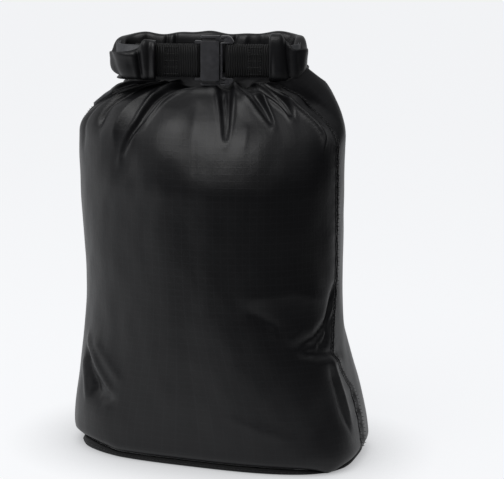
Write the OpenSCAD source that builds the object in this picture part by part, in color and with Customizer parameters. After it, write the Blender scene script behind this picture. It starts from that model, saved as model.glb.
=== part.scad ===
// Roll-top dry bag, stuffed and standing, with its mouth rolled down and clipped into a carry loop.
// X runs along the loop to the right, -Y is the front with the buckle, Z is up, and z = 0 is the floor.

/* [Sack] */
// Width of the base panel's corner-to-corner outline
base_w = 234; // [170:1:290]
// Depth of the base outline
base_d = 140; // [110:1:180]
// Width of the sack at its narrowest height
waist_w = 205; // [150:1:270]
// Depth of the sack at its narrowest height
waist_d = 152; // [110:1:190]
// Width of the sack under its shoulders
chest_w = 210; // [160:1:280]
// Depth of the sack under its shoulders
chest_d = 148; // [110:1:190]
// Height at which the sack is narrowest
waist_z = 140; // [90:1:170]
// Height at which the sack is widest under its shoulders
chest_z = 222; // [190:1:240]
// Height of the rolled collar's underside
collar_z = 293; // [275:1:340]
// Where the chest's middle stands along X, counted from the base's middle
chest_x = -7; // [-10:0.5:0]
// Turn of the sack's side seams against the collar, in degrees
sack_turn = -16; // [-25:1:0]
// Thickness that stands for the coated cloth
cloth_t = 1; // [0.8:0.1:1.4]
// Radius of the soft edge round the base
base_r = 12; // [8:1:18]
// Width of the seam tape
tape_w = 18; // [12:1:22]
// Thickness of the seam tape
tape_t = 0.4; // [0.3:0.1:0.6]

/* [Rolled collar] */
// Where the loop's middle stands along X, counted from the base's middle
loop_x = -9; // [-12:0.5:0]
// Width of the carry loop over its outside
ring_w = 149; // [140:1:180]
// Depth of the carry loop over its outside
ring_d = 58; // [50:1:74]
// Radius of the loop's bends at the middle of the roll
ring_r = 14; // [12:1:17]
// How far the left end of the roll comes round the front of the loop
left_wrap = 33.5; // [28:0.5:38]
// How far the right end of the roll comes round the front of the loop
right_wrap = 25.5; // [22:0.5:28]
// How much higher the roll is inside than the webbing is wide
roll_spare = 1.8; // [1:0.1:6]
// Thickness of the roll
roll_t = 11; // [10:0.5:14]
// Wall of one turn of the roll
turn_t = 1.1; // [0.8:0.1:1.3]
// Thickness of each mouth stiffener
stiffener_t = 0.9; // [0.5:0.1:1.2]

/* [Webbing] */
// Width of the webbing
web_w = 25; // [20:0.5:30]
// Thickness of one layer of webbing
web_t = 1.2; // [0.9:0.1:1.3]
// Length of each bar tack along the webbing
tack_l = 9; // [5:1:11]

/* [Buckle] */
// Where the buckle's middle lies along X, counted from the loop's middle
buckle_x = 6; // [2:1:8]
// Overall thickness of the female half
buckle_t = 8; // [8:0.5:10]
// Length of the female half's plates
plate_l = 14; // [13.5:0.5:15]
// How far the plates reach past each edge of the webbing
plate_rim = 2.5; // [2.4:0.1:4]
// Thickness of each plate
plate_t = 1.5; // [1.2:0.1:1.7]
// Thickness of the prongs, front to back
prong_t = 3.6; // [3:0.1:4]
// Radius of the round root on which a prong flexes
root_r = 1.8; // [1.6:0.1:2]
// How far the male half is drawn out
release_travel = 14; // [10:0.5:14]
// Angle through which each prong is squeezed over that travel
squeeze_deg = 12; // [11.5:0.5:12.5]

/* [Hidden] */

cloth_colour = [0.10, 0.10, 0.11];
tape_colour = [0.30, 0.31, 0.33];
webbing_colour = [0.06, 0.06, 0.06];
buckle_colour = [0.13, 0.13, 0.14];
stiffener_colour = [0.22, 0.22, 0.23];

// Clearances: between soft pieces, and round the prongs' roots.
soft_gap = 0.3;
tape_gap = 0.4;
root_gap = 0.06;
seam_gap = 0.5;

// Roundness of the sack's outline, from an oval (2) towards a rectangle.
base_corner = 3;
chest_corner = 2.1;

// Roll: the middle line of the loop, its inside and what lies in it.
roll_h = web_w + roll_spare + 2 * turn_t;
left_tip_x = left_wrap - ring_w / 2;
right_tip_x = ring_w / 2 - right_wrap;
ring_x = (ring_w - roll_t) / 2;
ring_y = (ring_d - roll_t) / 2;
cavity_h = roll_h - 2 * turn_t;
cavity_t = roll_t - 2 * turn_t;
roll_mid_z = collar_z + roll_h / 2;

// Neck: the cloth gathers to neck_z and then runs level under the loop to the roll.
neck_z = collar_z - 4;
shoulder_z = collar_z - 44;
front_slope_z = chest_z - 10;
neck_dip_y = -ring_y + 19;
neck_top_z = collar_z - soft_gap;

// Buckle, measured from its middle.
buckle_y = -ring_y + 1;
plate_h = web_w + 2 * plate_rim;
plate_x0 = 3.4 - plate_l;
plate_x1 = 3.4;
female_bar_r = 0.9;
female_bar_x = plate_x0 - 3;
ear_h = 2.1;
male_bar_r = 1.4;
male_bar_x = 10.6;
loop_gap = 0.3;
slot_h = web_w / 2 + 0.4;
crossbar_x0 = plate_x1 + 1;
crossbar_x1 = crossbar_x0 + 1.4;
male_end_x = 14.5;
arm_out = plate_h / 2 + 3.8;
rail_t = 1.7;
root_x = 9;
root_w = arm_out - 3;
male_half_t = 3;

// Loft of the sack: rows from the floor to the roll, columns from the left seam to the right seam.
columns = 34;
tuck_rows = 4;
side_rows = 12;
neck_rows = 9;
floor_rows = 3;

function mix(a, b, t) = a + (b - a) * t;
function clamp01(t) = min(1, max(0, t));
function ease(t) = let (c = clamp01(t)) c * c * (3 - 2 * c);
function signed_pow(v, p) = sign(v) * pow(abs(v), p);

// Half sizes of the sack at a height: base, waist, chest.
function below(z) = ease((z - base_r) / (waist_z - base_r));
function above(z) = ease((z - waist_z) / (chest_z - waist_z));
function half_w(z) = mix(mix(base_w, waist_w, below(z)), chest_w, above(z)) / 2;
function half_d(z) = mix(mix(base_d, waist_d, below(z)), chest_d, above(z)) / 2;
function middle_x(z) = chest_x * ease(z / chest_z);
function corner(z) = mix(base_corner, chest_corner, ease(z / waist_z));

// A point of the sack's outline at an angle, drawn in by inset.
function outline(angle, z, inset) =
    let (p = 2 / corner(z),
         x = (half_w(z) - inset) * signed_pow(cos(angle), p),
         y = (half_d(z) - inset) * signed_pow(sin(angle), p))
    [x * cos(sack_turn) - y * sin(sack_turn) + middle_x(z), x * sin(sack_turn) + y * cos(sack_turn)];

// Middle line of the roll, from its left end round the back to its right end.
function bend(cx, cy, from, to) =
    [for (i = [0:8]) [cx + ring_r * cos(mix(from, to, i / 8)), cy + ring_r * sin(mix(from, to, i / 8))]];
bend_x = ring_x - ring_r;
bend_y = ring_y - ring_r;
loop_pts = concat([[left_tip_x, -ring_y]],
                  bend(-bend_x, -bend_y, 270, 180), bend(-bend_x, bend_y, 180, 90),
                  bend(bend_x, bend_y, 90, 0), bend(bend_x, -bend_y, 0, -90),
                  [[right_tip_x, -ring_y]]);
loop_at = [for (i = 0, d = 0; i < len(loop_pts);
                d = d + (i + 1 < len(loop_pts) ? norm(loop_pts[i + 1] - loop_pts[i]) : 0), i = i + 1) d];
loop_l = loop_at[len(loop_at) - 1];
loop_xs = [for (i = [0:len(loop_pts) - 1]) [loop_at[i], loop_pts[i].x]];
loop_ys = [for (i = [0:len(loop_pts) - 1]) [loop_at[i], loop_pts[i].y]];
function on_loop(d) = [loop_x + lookup(d, loop_xs), lookup(d, loop_ys)];
function loop_out(d) =
    let (a = on_loop(max(0, d - 1.5)), b = on_loop(min(loop_l, d + 1.5)), t = (b - a) / norm(b - a))
    [-t.y, t.x];
function beside_loop(d, out) = on_loop(d) + out * loop_out(d);

// The gathered neck: the back panel follows the loop, the front panel dips under the buckle.
neck_out = roll_t / 2 - 3;
floor_in = 3;
function from_tips(s) = ease(min(s, 1 - s) / 0.06);
function neck_back(s) = beside_loop(s * loop_l, neck_out * from_tips(s));
function neck_front(s) =
    [loop_x + mix(left_tip_x, right_tip_x, s), mix(-ring_y, neck_dip_y, ease(min(s, 1 - s) / 0.42))];
function under_roll(s) = beside_loop(s * loop_l, -floor_in * from_tips(s));

// How far the sack has gathered to the neck at a height, sideways and front to back.
function gather_x(z) = 1 - sqrt(max(0, 1 - pow(clamp01((z - shoulder_z) / (neck_z - shoulder_z)), 2)));
function gather_y(z) =
    1 - pow(max(0, 1 - pow(clamp01((z - front_slope_z) / (neck_z - front_slope_z)), 1.6)), 0.83);
function gathered(e, k, z) = [mix(e.x, k.x, gather_x(z)), mix(e.y, k.y, gather_y(z)), z];

// Rows: [height, inset, share of the way from the neck to the roll].
rows = concat(
    [for (i = [0:tuck_rows - 1]) let (a = 90 * i / tuck_rows) [base_r * (1 - cos(a)), base_r * (1 - sin(a)), 0]],
    [for (i = [0:side_rows - 1]) [mix(base_r, shoulder_z, i / side_rows), 0, 0]],
    [for (i = [0:neck_rows]) [mix(shoulder_z, neck_z, sin(90 * i / neck_rows)), 0, 0]],
    [for (i = [1:floor_rows]) [neck_z, 0, i / floor_rows]]);
side_row0 = tuck_rows;
neck_row1 = tuck_rows + side_rows + neck_rows;

function front_point(s, row) =
    let (p = gathered(outline(180 + 180 * s, row[0], row[1]), neck_front(s), row[0]), q = under_roll(s), f = row[2])
    [mix(p.x, q.x, f), mix(p.y, q.y, f), mix(p.z, neck_top_z, f)];
function back_point(s, row) =
    let (p = gathered(outline(180 - 180 * s, row[0], row[1]), neck_back(s), row[0]))
    [p.x, p.y, mix(p.z, neck_top_z, row[2])];

// A sheet between two depths below a grid of points, with its outer face towards the normals' side.
function unit(v) = v / max(norm(v), 0.0001);
function wrap(j, n, closed) = closed ? (j + n) % n : min(n - 1, max(0, j));
function grid_normal(g, i, j, closed) =
    let (n = len(g[0]), up = g[min(len(g) - 1, i + 1)][j] - g[max(0, i - 1)][j],
         along = g[i][wrap(j + 1, n, closed)] - g[i][wrap(j - 1, n, closed)])
    unit(cross(along, up));
function flat(list) = [for (row = list) for (p = row) p];
module sheet(g, outer, inner, closed = false) {
    m = len(g);
    n = len(g[0]);
    normals = [for (i = [0:m - 1]) [for (j = [0:n - 1]) grid_normal(g, i, j, closed)]];
    pts = [for (depth = [outer, inner]) for (i = [0:m - 1]) for (j = [0:n - 1]) g[i][j] - depth * normals[i][j]];
    steps = closed ? n - 1 : n - 2;
    function at(k, i, j) = k * m * n + i * n + (j % n);
    function quad(a, b, c, d) = [[a, b, c], [a, c, d]];
    skin = [for (i = [0:m - 2]) for (j = [0:steps])
            concat(quad(at(0, i, j), at(0, i + 1, j), at(0, i + 1, j + 1), at(0, i, j + 1)),
                   quad(at(1, i, j), at(1, i, j + 1), at(1, i + 1, j + 1), at(1, i + 1, j)))];
    hems = [for (j = [0:steps])
            concat(quad(at(0, 0, j), at(0, 0, j + 1), at(1, 0, j + 1), at(1, 0, j)),
                   quad(at(0, m - 1, j), at(1, m - 1, j), at(1, m - 1, j + 1), at(0, m - 1, j + 1)))];
    ends = closed ? [] : [for (i = [0:m - 2])
            concat(quad(at(0, i, 0), at(1, i, 0), at(1, i + 1, 0), at(0, i + 1, 0)),
                   quad(at(0, i, n - 1), at(0, i + 1, n - 1), at(1, i + 1, n - 1), at(1, i, n - 1)))];
    polyhedron(pts, concat(flat(skin), flat(hems), flat(ends)), convexity = 12);
}

// Columns of a panel, a hair short of both seams.
half_girth = (half_w(waist_z) + half_d(waist_z)) * 1.6;
tips_apart = right_tip_x - left_tip_x;
function seam_s(z) = seam_gap / mix(half_girth, tips_apart, gather_x(z));
function panel_s(j, z) = mix(seam_s(z), 1 - seam_s(z), j / columns);
tape_s = tape_w / 2 / half_girth;

module front_panel() {
    color(cloth_colour)
    sheet([for (r = rows) [for (j = [0:columns]) front_point(panel_s(j, r[0]), r)]], 0, cloth_t);
}

module back_panel() {
    color(cloth_colour)
    sheet([for (r = rows) [for (j = [columns:-1:0]) back_point(panel_s(j, r[0]), r)]], 0, cloth_t);
}

function base_outline(inset) = [for (a = [0:4:356]) outline(a, 0, inset)];

module base_panel() {
    color(cloth_colour)
    linear_extrude(cloth_t) polygon(base_outline(base_r + seam_gap));
}

// Tape along a side seam: columns run from the back panel over the seam to the front panel.
module seam_tape(right) {
    spots = [for (k = [-1, -0.5, 0, 0.5, 1]) k * tape_s];
    side = [for (i = [side_row0:neck_row1 - 5]) rows[i]];
    function taped(k, r) =
        let (s = right ? 1 - abs(k) : abs(k)) k < 0 ? back_point(s, r) : front_point(s, r);
    sheet([for (r = side) [for (k = spots) taped(right ? -k : k, r)]],
          cloth_t + tape_gap, cloth_t + tape_gap + tape_t);
}

module left_seam_tape() {
    color(tape_colour) seam_tape(false);
}

module right_seam_tape() {
    color(tape_colour) seam_tape(true);
}

// Tape round the base seam: from the base panel, over the seam, part of the way up the soft edge.
module base_seam_tape() {
    tape_rows = concat([[0, base_r + tape_w / 2], [0, base_r + 1]],
                       [for (a = [12, 26, 40]) [base_r * (1 - cos(a)), base_r * (1 - sin(a))]]);
    color(tape_colour)
    sheet([for (r = tape_rows) [for (a = [0:6:354]) let (p = outline(a, r[0], r[1])) [p.x, p.y, r[0]]]],
          cloth_t + tape_gap, cloth_t + tape_gap + tape_t, closed = true);
}

// A flattened turn of the roll: a rounded box section, hollow, carried along the loop.
function box_section(t, h, r) =
    [for (k = [0:3]) for (a = [0:30:90])
        [(k == 0 || k == 3 ? 1 : -1) * (t / 2 - r), (k < 2 ? 1 : -1) * (h / 2 - r)]
        + r * [cos(90 * k + a), sin(90 * k + a)]];
module turn(d0, d1, t, h, r, wall, steps) {
    rings = [box_section(t, h, r), box_section(t - 2 * wall, h - 2 * wall, max(0.3, r - wall))];
    n = len(rings[0]);
    pts = [for (k = [0, 1]) for (i = [0:steps]) let (d = mix(d0, d1, i / steps)) for (q = rings[k])
           let (p = beside_loop(d, q.x)) [p.x, p.y, roll_mid_z + q.y]];
    function at(k, i, j) = (k * (steps + 1) + i) * n + (j % n);
    function quad(a, b, c, d) = [[a, b, c], [a, c, d]];
    walls = [for (i = [0:steps - 1]) for (j = [0:n - 1])
             concat(quad(at(0, i, j), at(0, i, j + 1), at(0, i + 1, j + 1), at(0, i + 1, j)),
                    quad(at(1, i, j), at(1, i + 1, j), at(1, i + 1, j + 1), at(1, i, j + 1)))];
    mouths = [for (j = [0:n - 1])
              concat(quad(at(0, 0, j), at(1, 0, j), at(1, 0, j + 1), at(0, 0, j + 1)),
                     quad(at(0, steps, j), at(0, steps, j + 1), at(1, steps, j + 1), at(1, steps, j)))];
    polyhedron(pts, concat(flat(walls), flat(mouths)), convexity = 12);
}

module rolled_collar() {
    color(cloth_colour) turn(0, loop_l, roll_t, roll_h, 3.4, turn_t, 52);
}

// The roll's inner turn and its stiffeners start clear of the webbing's tails.
left_tail_l = 12;
right_tail_l = 2.2;
inner_h = cavity_h - 2 * soft_gap;
inner_t = cavity_t - 3 * soft_gap;
inner_d0 = left_tail_l + 6;
inner_d1 = loop_l - (right_tail_l + release_travel + 12);
module inner_turn() {
    color(cloth_colour) turn(inner_d0, inner_d1, inner_t, inner_h, 2.2, turn_t, 44);
}

// A strip that stands on edge in the roll, between two distances from its middle line.
module stiffener(in, out) {
    h = inner_h - 2 * turn_t - 2 * soft_gap;
    steps = 40;
    pts = [for (i = [0:steps]) let (d = mix(inner_d0 + 4, inner_d1 - 4, i / steps))
           for (q = [[in, -h / 2], [out, -h / 2], [out, h / 2], [in, h / 2]])
           let (p = beside_loop(d, q.x)) [p.x, p.y, roll_mid_z + q.y]];
    function quad(a, b, c, d) = [[a, b, c], [a, c, d]];
    sides = [for (i = [0:steps - 1]) for (j = [0:3]) let (a = 4 * i + j, b = 4 * i + (j + 1) % 4)
             quad(a, b, b + 4, a + 4)];
    last = 4 * steps;
    polyhedron(pts, concat(flat(sides), quad(3, 2, 1, 0), quad(last, last + 1, last + 2, last + 3)), convexity = 12);
}

module front_stiffener() {
    color(stiffener_colour) stiffener(-soft_gap / 2 - stiffener_t, -soft_gap / 2);
}

module back_stiffener() {
    color(stiffener_colour) stiffener(soft_gap / 2, soft_gap / 2 + stiffener_t);
}

// Webbing: a band folded round a bar at x = 0 and running to -x, seen from above, two layers thick at its tail.
module web_loop(bar_r, join_x, tail_x) {
    inner = bar_r + loop_gap;
    outer = inner + web_t;
    translate([0, 0, -web_w / 2]) linear_extrude(web_w) difference() {
        polygon(concat([for (a = [-90:15:90]) outer * [cos(a), sin(a)]],
                       [[join_x, web_t], [tail_x, web_t], [tail_x, -web_t], [join_x, -web_t]]));
        polygon(concat([for (a = [-90:15:90]) inner * [cos(a), sin(a)]], [[join_x, 0.02], [join_x, -0.02]]));
    }
}

module at_buckle() {
    translate([loop_x + buckle_x, buckle_y, roll_mid_z]) children();
}

join_l = 15;
left_tail_x = left_tip_x - left_tail_l - buckle_x;
right_tail_x = right_tip_x + right_tail_l - buckle_x;
module left_webbing() {
    color(webbing_colour) at_buckle()
    translate([female_bar_x, 0, 0]) web_loop(female_bar_r, -join_l, left_tail_x - female_bar_x);
}

module right_webbing() {
    color(webbing_colour) at_buckle()
    translate([male_bar_x, 0, 0]) mirror([1, 0, 0]) web_loop(male_bar_r, -join_l, male_bar_x - right_tail_x);
}

// A dense box of stitches on the front of the webbing, just past where its layers join.
module bar_tack(x0) {
    thread_t = 0.4;
    at_buckle()
    translate([x0, -web_t - thread_t, 1.5 - web_w / 2]) cube([tack_l, thread_t, web_w - 3]);
}

module left_bar_tack() {
    color(webbing_colour) bar_tack(female_bar_x - join_l - tack_l);
}

module right_bar_tack() {
    color(webbing_colour) bar_tack(male_bar_x + join_l);
}

// A flat shape in the X-Z plane, from the front at y0 to the back at y1.
module upright(y0, y1) {
    translate([0, y1, 0]) rotate([90, 0, 0]) linear_extrude(y1 - y0) children();
}

function round_box(x0, x1, z0, z1, r) =
    [for (c = [[x1 - r, z1 - r, 0], [x0 + r, z1 - r, 90], [x0 + r, z0 + r, 180], [x1 - r, z0 + r, 270]])
        for (a = [0:18:90]) [c[0] + r * cos(c[2] + a), c[1] + r * sin(c[2] + a)]];

module mirrored() {
    for (m = [0, 1]) mirror([0, 0, m]) children();
}

// Female half: two plates with guide ribs and catch posts between them, and an eared bar for the webbing.
rib_w0 = 5;
rib_t = 1.2;
post_x0 = -3.6;
post_l = 2;
post_t = 1.4;
post_in = 0.6;
end_wall_t = 1.2;
module buckle_female() {
    half = buckle_t / 2;
    edge = plate_h / 2;
    color(buckle_colour) at_buckle() {
        for (y = [[-half, plate_t - half], [half - plate_t, half]])
            upright(y[0], y[1]) polygon(round_box(plate_x0, plate_x1, -edge, edge, 1.6));
        upright(-half + 0.5, half - 0.5)
            translate([plate_x0, -edge + 0.8]) square([end_wall_t, plate_h - 1.6]);
        mirrored() {
            upright(-half + 0.5, half - 0.5) translate([plate_x0 + 0.5, rib_w0]) square([plate_l - 1, rib_t]);
            upright(-half + 0.5, half - 0.5) translate([post_x0, edge - post_in - post_t]) square([post_l, post_t]);
            upright(-2, 2) polygon(round_box(female_bar_x - 1.6, plate_x0 + 0.6, slot_h, slot_h + ear_h, 0.9));
        }
        translate([female_bar_x, 0, -slot_h - 0.5]) cylinder(h = 2 * slot_h + 1, r = female_bar_r, $fn = 32);
    }
}

// Male half: a crossbar with a guide tongue, shoulders with the sockets for the prongs, and a round end bar.
tongue_l = 10;
tongue_w = 8;
module buckle_male() {
    color(buckle_colour) at_buckle() difference() {
        union() {
            upright(-male_half_t, male_half_t)
                translate([crossbar_x0, -root_w]) square([crossbar_x1 - crossbar_x0, 2 * root_w]);
            upright(-prong_t / 2 + 0.3, prong_t / 2 - 0.3)
                translate([crossbar_x0 - tongue_l, -tongue_w / 2]) square([tongue_l + 0.5, tongue_w]);
            mirrored() upright(-male_half_t, male_half_t)
                polygon([[crossbar_x0, slot_h], [male_end_x - 1.2, slot_h], [male_end_x, slot_h + 1.2],
                         [male_end_x - 0.6, root_w - 0.6], [male_end_x - 2.2, arm_out - 1.2],
                         [root_x + 1.2, arm_out], [crossbar_x1 - 0.8, arm_out], [crossbar_x0, arm_out - 0.8]]);
            translate([male_bar_x, 0, -slot_h - 0.5]) cylinder(h = 2 * slot_h + 1, r = male_bar_r, $fn = 32);
        }
        mirrored() {
            translate([root_x, male_half_t + 1, root_w]) rotate([90, 0, 0])
                cylinder(h = 2 * male_half_t + 2, r = root_r + root_gap, $fn = 48);
            upright(-male_half_t - 1, male_half_t + 1) polygon(socket_way());
        }
    }
}

// The way out of a socket, wide enough for the squeezed arm.
arm_half = 1.15;
arm_clear = 0.35;
function socket_way() =
    let (c = arm_half + arm_clear, l = root_x - crossbar_x0 + 1, drop = l * tan(squeeze_deg))
    [[root_x, root_w + c], [root_x, root_w - c], [root_x - l, root_w - c - drop], [root_x - l, root_w + c]];

// A prong: a round root, an outer rail that is squeezed, and an inner finger with the catch.
finger_out = plate_h / 2 - post_in - post_t - 0.7;
finger_t = 2;
catch_h = 1.2;
catch_x0 = plate_x0 + end_wall_t + 0.5;
catch_l = 2.6;
fork_x = 0.6;
module prong() {
    rail_in = arm_out - rail_t;
    arm_x = crossbar_x0 - 0.6;
    union() {
        translate([root_x, prong_t / 2 + 0.9, root_w]) rotate([90, 0, 0])
            cylinder(h = prong_t + 1.8, r = root_r, $fn = 48);
        upright(-prong_t / 2, prong_t / 2) union() {
            translate([arm_x - 1, root_w - arm_half]) square([root_x - arm_x + 1, 2 * arm_half]);
            polygon([[arm_x, root_w - arm_half], [arm_x, arm_out], [plate_x0 + 0.8, arm_out], [plate_x0, arm_out - 0.6],
                     [plate_x0, rail_in], [fork_x, rail_in], [fork_x, finger_out], [catch_x0 + catch_l, finger_out],
                     [catch_x0 + catch_l, finger_out + catch_h], [catch_x0 + 1.2, finger_out + catch_h],
                     [catch_x0, finger_out], [catch_x0, finger_out - finger_t], [fork_x + 1, finger_out - finger_t]]);
        }
    }
}

module upper_prong() {
    color(buckle_colour) at_buckle() prong();
}

module lower_prong() {
    color(buckle_colour) at_buckle() mirror([0, 0, 1]) prong();
}

front_panel();
back_panel();
base_panel();
left_seam_tape();
right_seam_tape();
base_seam_tape();
rolled_collar();
inner_turn();
front_stiffener();
back_stiffener();
left_webbing();
right_webbing();
left_bar_tack();
right_bar_tack();
buckle_female();
buckle_male();
upper_prong();
lower_prong();
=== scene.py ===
"""Roll-top dry bag: the looks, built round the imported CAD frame.

Laid out as a Blender add-on and run as a script. Lengths are in metres, in the frame's own axes: +X along the
carry loop, -Y to the front with the buckle, +Z up.
"""

import math

import bmesh
import bpy
import numpy as np
from bpy.props import FloatProperty, FloatVectorProperty, IntProperty, PointerProperty
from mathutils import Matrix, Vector, noise


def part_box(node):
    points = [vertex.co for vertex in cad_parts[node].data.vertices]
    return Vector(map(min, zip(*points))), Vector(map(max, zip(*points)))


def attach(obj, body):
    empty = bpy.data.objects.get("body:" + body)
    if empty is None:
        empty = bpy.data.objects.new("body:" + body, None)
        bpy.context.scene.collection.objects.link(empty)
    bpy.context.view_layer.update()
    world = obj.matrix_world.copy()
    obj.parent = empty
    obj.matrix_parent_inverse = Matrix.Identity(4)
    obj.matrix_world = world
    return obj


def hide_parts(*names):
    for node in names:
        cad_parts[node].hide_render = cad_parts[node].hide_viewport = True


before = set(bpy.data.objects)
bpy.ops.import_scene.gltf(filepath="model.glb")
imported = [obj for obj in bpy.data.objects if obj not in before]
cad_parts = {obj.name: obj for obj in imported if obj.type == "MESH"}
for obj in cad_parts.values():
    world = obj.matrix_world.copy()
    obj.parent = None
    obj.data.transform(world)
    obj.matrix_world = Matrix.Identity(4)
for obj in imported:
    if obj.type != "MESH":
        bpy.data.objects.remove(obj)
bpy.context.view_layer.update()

bl_info = {
    "name": "Roll-top dry bag",
    "version": (1, 0, 0),
    "blender": (4, 5, 0),
    "location": "3D View > Sidebar > Dry bag",
    "description": "Builds the cloth, roll, webbing and buckle of a dry bag round its CAD frame",
    "category": "Object",
}

MM = 0.001

# The studio is dark towards the front and the right: each metre of X counts for this much of one of Y.
SIDE_LEAN = -0.8


# ---------------------------------------------------------------- sizes that come from the frame

COLLAR_LOW, COLLAR_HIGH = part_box("rolled_collar")
LOOP_X = (COLLAR_LOW[0] + COLLAR_HIGH[0]) / 2
COLLAR_Z = COLLAR_LOW[2]
ROLL_H = COLLAR_HIGH[2] - COLLAR_LOW[2]
RING_W = COLLAR_HIGH[0] - COLLAR_LOW[0]
RING_D = COLLAR_HIGH[1] - COLLAR_LOW[1]
ROLL_MID_Z = (COLLAR_LOW[2] + COLLAR_HIGH[2]) / 2


# ---------------------------------------------------------------- properties


def size(name, text, value):
    return FloatProperty(name=name, description=text, default=value, unit="LENGTH", precision=4)


def colour_of(text):
    """An sRGB hex colour as linear red, green, blue and alpha."""
    parts = [int(text[i : i + 2], 16) / 255 for i in (1, 3, 5)]
    return tuple(c / 12.92 if c <= 0.04045 else ((c + 0.055) / 1.055) ** 2.4 for c in parts) + (1.0,)


def colour(name, text, value):
    return FloatVectorProperty(
        name=name, description=text, default=colour_of(value), size=4, subtype="COLOR", min=0, max=1
    )


class DryBagSack(bpy.types.PropertyGroup):
    base_w: size("Base width", "Width of the base outline", 234 * MM)
    base_d: size("Base depth", "Depth of the base outline", 140 * MM)
    waist_w: size("Waist width", "Width of the sack where it is narrowest", 205 * MM)
    waist_d: size("Waist depth", "Depth of the sack where it is narrowest", 152 * MM)
    waist_z: size("Waist height", "Height at which the sack is narrowest", 140 * MM)
    chest_w: size("Chest width", "Width of the sack under its shoulders", 210 * MM)
    chest_d: size("Chest depth", "Depth of the sack under its shoulders", 148 * MM)
    chest_z: size("Chest height", "Height at which the sack is widest under its shoulders", 222 * MM)
    chest_x: size("Chest shift", "Where the chest stands along X", -7 * MM)
    edge_r: size("Edge radius", "Radius of the soft edge round the base", 12 * MM)
    cloth_t: size("Cloth", "Thickness that the cloth is drawn with", 0.5 * MM)
    turn: FloatProperty(
        name="Turn", description="Turn of the side seams", default=math.radians(-16), subtype="ANGLE"
    )
    columns: IntProperty(name="Columns", description="Steps across each panel", default=250, min=24)


class DryBagRoll(bpy.types.PropertyGroup):
    bend_r: size("Bend radius", "Radius of the loop's bends at the middle of the roll", 14 * MM)
    thickness: size("Thickness", "Thickness of the roll", 11 * MM)
    left_wrap: size("Left wrap", "How far the left end comes round the front", 36 * MM)
    right_wrap: size("Right wrap", "How far the right end comes round the front", 27.5 * MM)
    turns: FloatProperty(name="Turns", description="Turns of cloth in the roll", default=3.0, min=1)


class DryBagHardware(bpy.types.PropertyGroup):
    web_t: size("Webbing thickness", "Thickness of one layer of webbing", 1.2 * MM)
    rib_pitch: size("Rib pitch", "Distance between the webbing's ribs", 1.75 * MM)
    stitch_pitch: size("Stitch pitch", "Distance between stitches along a seam", 3.0 * MM)
    stitch_l: size("Stitch length", "Length of one stitch", 2.2 * MM)
    thread_r: size("Thread radius", "Radius of the sewing thread", 0.28 * MM)
    edge_bevel: size("Buckle edge", "Radius of the buckle's moulded edges", 0.35 * MM)


class DryBagColours(bpy.types.PropertyGroup):
    cloth: colour("Cloth", "Coated ripstop nylon", "#0f0f11")
    webbing: colour("Webbing", "Ribbed polyester webbing", "#0b0b0c")
    thread: colour("Thread", "Bonded sewing thread", "#0c0c0d")
    buckle: colour("Buckle", "Moulded acetal", "#3a3a3d")
    tape: colour("Tape", "Heat-sealed seam tape", "#3a3b3e")
    floor: colour("Floor", "Pale studio floor", "#f1f2f4")


class DryBagSettings(bpy.types.PropertyGroup):
    sack: PointerProperty(type=DryBagSack)
    roll: PointerProperty(type=DryBagRoll)
    hardware: PointerProperty(type=DryBagHardware)
    colours: PointerProperty(type=DryBagColours)


# ---------------------------------------------------------------- materials


def add_node(tree, kind, inputs=None, **settings):
    """Adds a node: settings are its properties, inputs its sockets by name or number, as values or as links."""
    node = tree.nodes.new(kind)
    for key, value in settings.items():
        setattr(node, key, value)
    for key, value in (inputs or {}).items():
        if isinstance(value, bpy.types.NodeSocket):
            tree.links.new(value, node.inputs[key])
        else:
            node.inputs[key].default_value = value
    return node


def new_material(name, **shader):
    """A Principled material, its node tree and its shader; shader sockets are given by name."""
    material = bpy.data.materials.new(name)
    material.use_nodes = True
    tree = material.node_tree
    principled = tree.nodes["Principled BSDF"]
    for key, value in shader.items():
        principled.inputs[key.replace("_", " ")].default_value = value
    return material, tree, principled


def map_range(tree, value, source, target):
    """A value carried from one range to another, clamped at both ends."""
    inputs = {"Value": value, "From Min": source[0], "From Max": source[1]}
    inputs.update({"To Min": target[0], "To Max": target[1]})
    return add_node(tree, "ShaderNodeMapRange", inputs).outputs["Result"]


def varied(tree, low, high, source, spread=(0.0, 1.0)):
    """Two colours mixed by a value."""
    ramp = add_node(tree, "ShaderNodeValToRGB", {"Fac": source})
    ramp.color_ramp.elements[0].position, ramp.color_ramp.elements[1].position = spread
    ramp.color_ramp.elements[0].color, ramp.color_ramp.elements[1].color = low, high
    return ramp.outputs["Color"]


def shade(rgba, factor):
    return tuple(min(1.0, c * factor) for c in rgba[:3]) + (1.0,)


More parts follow.
